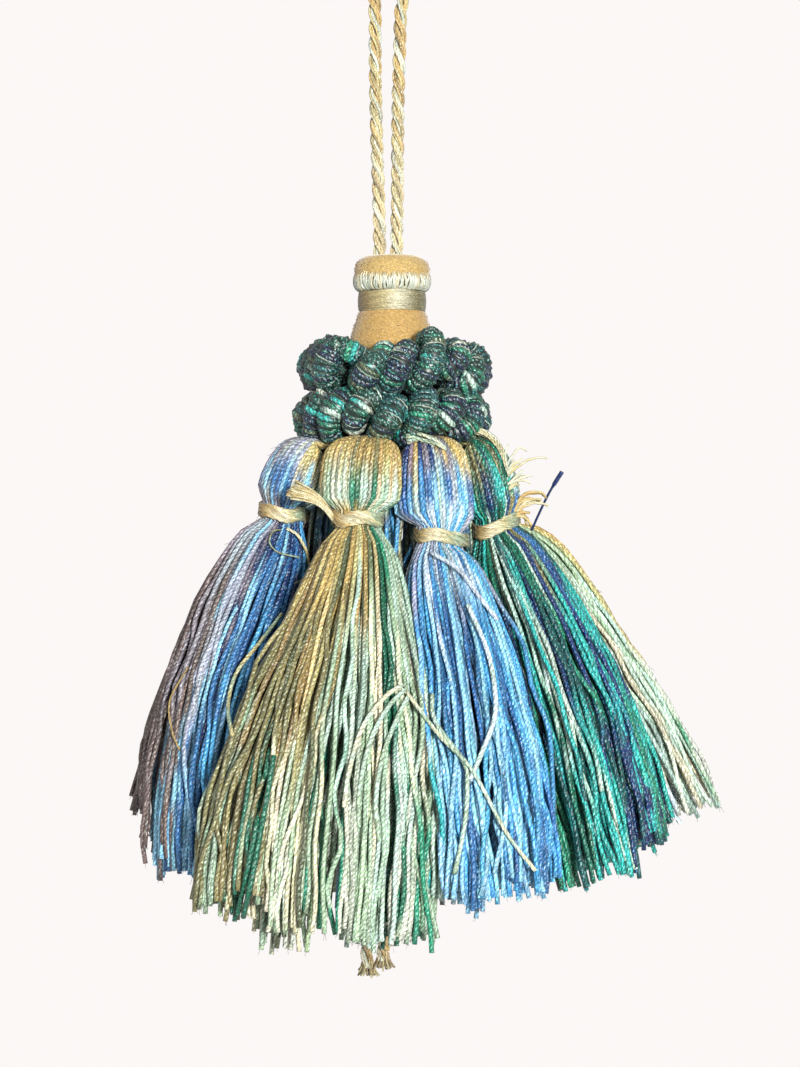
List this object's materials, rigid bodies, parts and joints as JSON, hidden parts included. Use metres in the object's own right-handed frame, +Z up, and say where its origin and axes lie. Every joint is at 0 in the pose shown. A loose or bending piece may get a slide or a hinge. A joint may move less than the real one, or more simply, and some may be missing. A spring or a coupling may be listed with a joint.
{
  "type": "tassel",
  "caption": "Hanging key tassel: small tied yarn tassels fan out under a coiled rope ruff on a thread-wound head with a cord loop.",
  "frame": {"origin": "inner top of the hanging loop, where a hook, peg or key carries it", "axes": "+Z up along the tassel's axis, -Y the front that faces the viewer, +X to the viewer's right"},
  "size_m": [0.0908, 0.088, 0.1591],
  "materials": {
    "cord": "two-ply twisted cord, one gold and one sage ply, satin",
    "head_thread": "wound gold and sage thread, soft satin with fuzz",
    "band_thread": "turns of gold and sage thread, satin",
    "ruff_yarn": "space-dyed dark green, teal and navy yarn, lustrous",
    "yarn_cream": "gold to sage two-ply yarn with green streaks, satin",
    "yarn_blue": "space-dyed blue and lilac two-ply yarn, satin",
    "yarn_green": "space-dyed green, teal and navy two-ply yarn, satin",
    "yarn_taupe": "brown lilac two-ply yarn, satin"
  },
  "bodies": {
    "root": {"hanging_loop": "cord", "cord_tail_left": "cord", "cord_tail_right": "cord", "bundle_ring": "cord", "head": "head_thread", "neck_band": "band_thread", "ruff": "ruff_yarn", "bundle_front_left": "yarn_cream", "bundle_front_right": "yarn_blue", "bundle_right": "yarn_green", "bundle_right_back": "yarn_cream", "bundle_back_right": "yarn_blue", "bundle_back_left": "yarn_green", "bundle_left_back": "yarn_taupe", "bundle_left": "yarn_blue", "tie_front_left": "band_thread", "tie_front_right": "band_thread", "tie_right": "band_thread", "tie_right_back": "band_thread", "tie_back_right": "band_thread", "tie_back_left": "band_thread", "tie_left_back": "band_thread", "tie_left": "band_thread"}
  },
  "joints": []
}
